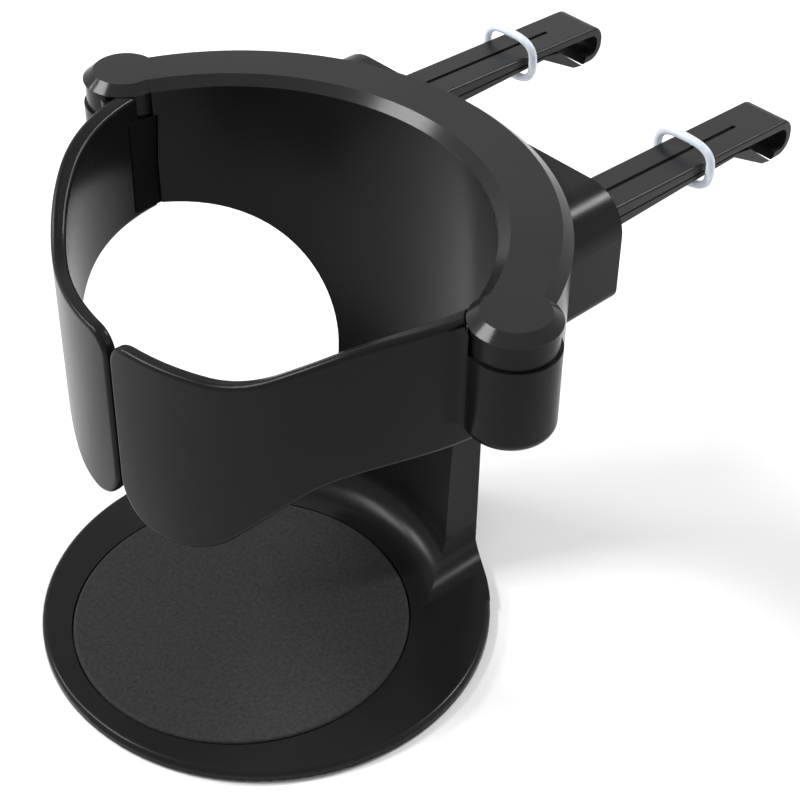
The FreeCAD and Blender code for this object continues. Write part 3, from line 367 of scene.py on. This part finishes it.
# %% Make the metals
def plated_steel(name, colour, gloss):
    skin = bpy.data.materials.new(name)
    skin.use_nodes = True
    tree = skin.node_tree
    shader = tree.nodes["Principled BSDF"]
    shader.inputs["Metallic"].default_value = 1.0
    where = tree.nodes.new("ShaderNodeTexCoord")
    patches = tree.nodes.new("ShaderNodeTexNoise")
    patches.inputs["Scale"].default_value = 700.0
    patches.inputs["Detail"].default_value = 4.0
    tree.links.new(where.outputs["Object"], patches.inputs["Vector"])
    span = tree.nodes.new("ShaderNodeMapRange")
    span.inputs["To Min"].default_value = gloss
    span.inputs["To Max"].default_value = gloss + 0.2
    tree.links.new(patches.outputs["Fac"], span.inputs["Value"])
    tree.links.new(span.outputs["Result"], shader.inputs["Roughness"])
    tint = tree.nodes.new("ShaderNodeValToRGB")
    tint.color_ramp.elements[0].color = tuple(c * 0.8 for c in colour) + (1,)
    tint.color_ramp.elements[1].color = tuple(colour) + (1,)
    tree.links.new(patches.outputs["Fac"], tint.inputs["Fac"])
    tree.links.new(tint.outputs["Color"], shader.inputs["Base Color"])
    relief = tree.nodes.new("ShaderNodeBump")
    relief.inputs["Strength"].default_value = 0.2
    relief.inputs["Distance"].default_value = 0.00001
    tree.links.new(patches.outputs["Fac"], relief.inputs["Height"])
    tree.links.new(relief.outputs["Normal"], shader.inputs["Normal"])
    return skin


zinc = plated_steel("zinc_plated_steel", (0.62, 0.62, 0.64), 0.25)
spring_wire = plated_steel("drawn_spring_wire", (0.50, 0.50, 0.52), 0.2)
print("metals:", zinc.name, spring_wire.name)

# %% [markdown]
# ## Dress the CAD parts
#
# Each CAD part keeps its shape and only gets a finish, in every material slot that it has. The pad
# and the rings get a shape of their own further down.

# %% Give each part its finish
FINISHES = {
    "holder_body": body_plastic,
    "collar_cap": collar_plastic,
    "base_pad": pad_rubber,
    "right_arm": arm_plastic,
    "left_arm": arm_plastic,
    "right_arm_spring": spring_wire,
    "left_arm_spring": spring_wire,
    "right_pivot_washer": zinc,
    "left_pivot_washer": zinc,
    "pivot_screws": zinc,
    "clip_screws": zinc,
    "right_clip": clip_plastic,
    "left_clip": clip_plastic,
    "right_clip_clamp": body_plastic,
    "left_clip_clamp": body_plastic,
}
for part_name, finish in FINISHES.items():
    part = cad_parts[part_name]
    for slot in part.material_slots:
        slot.material = finish
print(len(FINISHES), "parts dressed")

# %% [markdown]
# ## The pad's pebbled skin
#
# The pad is a disc of soft rubber, pressed into a shallow recess of the foot. A disc like this is
# never quite flat: its rim rolls over, its top sinks by a hair towards the middle and its pebbles
# stand up here and there. CAD gives it as a plain disc of the right size and place. Here the same
# profile is turned ring by ring, with a wider roll at the rim, and a noise lowers the top by a few
# hundredths of a millimetre, so that the skin never leaves the room that CAD keeps for it.

# %% Draw the pad's profile
PAD_ROLL_SHARE = 0.35
PAD_ROLL_STEPS = 8
PAD_RINGS = 70
PAD_TURNS = 180
PAD_SHRINK = 0.00003
PAD_HOLLOW = 0.00003
PAD_SWELL = 0.000015
PAD_PEBBLE = 0.000012


def pad_profile(radius, low, high, roll):
    """Half of the pad's section, as (distance from the axis, height), from the lower rim inwards."""
    profile = [(radius, low)]
    for step in range(PAD_ROLL_STEPS + 1):
        bend = math.pi / 2 * step / PAD_ROLL_STEPS
        profile.append((radius - roll + roll * math.cos(bend), high - roll + roll * math.sin(bend)))
    for ring in range(1, PAD_RINGS):
        profile.append(((radius - roll) * (1 - ring / PAD_RINGS), high))
    return profile


def pad_sink(x, y, share_out):
    """How far the top lies under the CAD pad's top: deeper in the middle, with swells and pebbles."""
    swell = noise.noise(Vector((x, y, 0.0)) * 110.0)
    pebble = noise.noise(Vector((x, y, 0.0)) * 900.0)
    hollow = 1 - share_out ** 2
    return PAD_SHRINK + PAD_HOLLOW * hollow + PAD_SWELL * swell + PAD_PEBBLE * pebble


print("sink in the middle:", round(pad_sink(0.0, 0.0, 0.0) * 1000, 3), "mm")

# %% [markdown]
# The profile is turned round the pad's axis. Each step of the turn makes one point of every ring,
# and four neighbouring points make a face. One face closes the small hole in the middle and one
# closes the underside.

# %% Turn the pad
def turned_pad(name, node, body):
    """A soft disc in the room of its CAD solid, with a rolled rim and a slightly uneven top."""
    low, high = (Vector(corner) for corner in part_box(node))
    centre = (low + high) / 2
    radius = (high.x - low.x) / 2
    roll = (high.z - low.z) * PAD_ROLL_SHARE
    turns = PAD_TURNS
    form = bmesh.new()
    rims = []
    for out, height in pad_profile(radius, low.z, high.z, roll):
        on_top = height > high.z - roll * 0.5
        rim = []
        for turn_step in range(turns):
            angle = 2 * math.pi * turn_step / turns
            x, y = centre.x + out * math.cos(angle), centre.y + out * math.sin(angle)
            sink = pad_sink(x, y, out / radius) if on_top else 0.0
            rim.append(form.verts.new((x, y, height - sink)))
        rims.append(rim)
    for inner, outer in zip(rims[1:], rims):
        for turn_step in range(turns):
            after = (turn_step + 1) % turns
            form.faces.new((outer[turn_step], outer[after], inner[after], inner[turn_step]))
    form.faces.new(rims[-1])
    form.faces.new(rims[0][::-1])
    bmesh.ops.recalc_face_normals(form, faces=form.faces)
    mesh = bpy.data.meshes.new(name)
    form.to_mesh(mesh)
    form.free()
    mesh.shade_smooth()
    mesh.set_sharp_from_angle(angle=math.radians(50))
    pad = bpy.data.objects.new(name, mesh)
    bpy.context.scene.collection.objects.link(pad)
    mesh.materials.append(pad_rubber)
    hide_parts(node)
    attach(pad, body)
    return pad


pad = turned_pad("pebbled_pad", "base_pad", "holder")
print("pad faces:", len(pad.data.polygons))

# %% [markdown]
# ## The rings on the clips
#
# A milky silicone ring slides along each clip and squeezes its prongs together. The silicone lets
# some light through and scatters the rest just under its skin, which gives the milky look. A haze
# of noise moves its tint and its gloss a little.

# %% Make the milky silicone
def milky_silicone(name):
    skin = bpy.data.materials.new(name)
    skin.use_nodes = True
    tree = skin.node_tree
    shader = tree.nodes["Principled BSDF"]
    shader.inputs["Transmission Weight"].default_value = 0.35
    shader.inputs["IOR"].default_value = 1.41
    shader.inputs["Subsurface Weight"].default_value = 0.25
    shader.inputs["Subsurface Radius"].default_value = (0.0012, 0.0014, 0.0016)
    where = tree.nodes.new("ShaderNodeTexCoord")
    haze = tree.nodes.new("ShaderNodeTexNoise")
    haze.inputs["Scale"].default_value = 400.0
    haze.inputs["Detail"].default_value = 3.0
    tree.links.new(where.outputs["Object"], haze.inputs["Vector"])
    tint = tree.nodes.new("ShaderNodeValToRGB")
    tint.color_ramp.elements[0].color = (0.70, 0.77, 0.88, 1)
    tint.color_ramp.elements[1].color = (0.88, 0.92, 0.97, 1)
    tree.links.new(haze.outputs["Fac"], tint.inputs["Fac"])
    tree.links.new(tint.outputs["Color"], shader.inputs["Base Color"])
    span = tree.nodes.new("ShaderNodeMapRange")
    span.inputs["To Min"].default_value = 0.22
    span.inputs["To Max"].default_value = 0.42
    tree.links.new(haze.outputs["Fac"], span.inputs["Value"])
    tree.links.new(span.outputs["Result"], shader.inputs["Roughness"])
    relief = tree.nodes.new("ShaderNodeBump")
    relief.inputs["Strength"].default_value = 0.15
    relief.inputs["Distance"].default_value = 0.00003
    tree.links.new(haze.outputs["Fac"], relief.inputs["Height"])
    tree.links.new(relief.outputs["Normal"], shader.inputs["Normal"])
    return skin


silicone = milky_silicone("milky_silicone")
print("silicone:", silicone.name)

# %% [markdown]
# The ring isn't a hard hoop: it is stretched over a flat bar, so it takes the shape of a squared
# oval, and it is a little thinner where it bends round the bar's corners. CAD gives it as a plain
# hoop with straight sides. A curve with a round bevel could draw it too, but its tube would have one
# thickness. Here a tube follows an oval of the same width and height, ring by ring. The power of 3
# in its outline lies between an ellipse (2) and a rectangle (very large), which leaves room for the
# clip's corners along the whole slide.

# %% Sweep a ring
RING_SHRINK = 0.92
RING_SQUARENESS = 3.0
RING_STEPS = 96
RING_SIDES = 24
RING_THINNING = 0.06


def stretched_ring(name, node, body):
    """A soft tube that hugs the clip in a squared oval, a little thinner over the clip's corners."""
    low, high = (Vector(corner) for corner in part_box(node))
    centre = (low + high) / 2
    tube = (high.y - low.y) / 2 * RING_SHRINK
    half_wide = (high.x - low.x) / 2 - tube
    half_high = (high.z - low.z) / 2 - tube
    squareness = RING_SQUARENESS
    steps = RING_STEPS
    sides = RING_SIDES
    line = []
    for step in range(steps):
        angle = 2 * math.pi * step / steps
        along, across = math.cos(angle), math.sin(angle)
        spread = abs(along / half_wide) ** squareness + abs(across / half_high) ** squareness
        line.append(Vector((along, across)) * spread ** (-1 / squareness))
    form = bmesh.new()
    rims = []
    for step, point in enumerate(line):
        ahead = line[(step + 1) % steps] - line[step - 1]
        outward = Vector((ahead.y, -ahead.x)).normalized()
        stretch = 1 - RING_THINNING * abs(math.sin(4 * math.pi * step / steps))
        rim = []
        for side in range(sides):
            turn_round = 2 * math.pi * side / sides
            flat = point + outward * tube * stretch * math.cos(turn_round)
            depth = tube * stretch * math.sin(turn_round)
            rim.append(form.verts.new((centre.x + flat.x, centre.y + depth, centre.z + flat.y)))
        rims.append(rim)
    for step in range(steps):
        for side in range(sides):
            ahead, beside = (step + 1) % steps, (side + 1) % sides
            here, there = rims[step], rims[ahead]
            form.faces.new((here[side], here[beside], there[beside], there[side]))
    bmesh.ops.recalc_face_normals(form, faces=form.faces)
    mesh = bpy.data.meshes.new(name)
    form.to_mesh(mesh)
    form.free()
    mesh.shade_smooth()
    ring = bpy.data.objects.new(name, mesh)
    bpy.context.scene.collection.objects.link(ring)
    mesh.materials.append(silicone)
    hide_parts(node)
    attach(ring, body)
    return ring


right_ring = stretched_ring("right_silicone_ring", "right_clip_ring", "right_ring")
left_ring = stretched_ring("left_silicone_ring", "left_clip_ring", "left_ring")
print("ring faces:", len(right_ring.data.polygons), len(left_ring.data.polygons))

# %% [markdown]
# ## Finish
#
# The camera's white ground depends on the view transform, so that is set to Standard.

# %% Set the view transform
bpy.context.scene.view_settings.view_transform = "Standard"
bpy.context.view_layer.update()
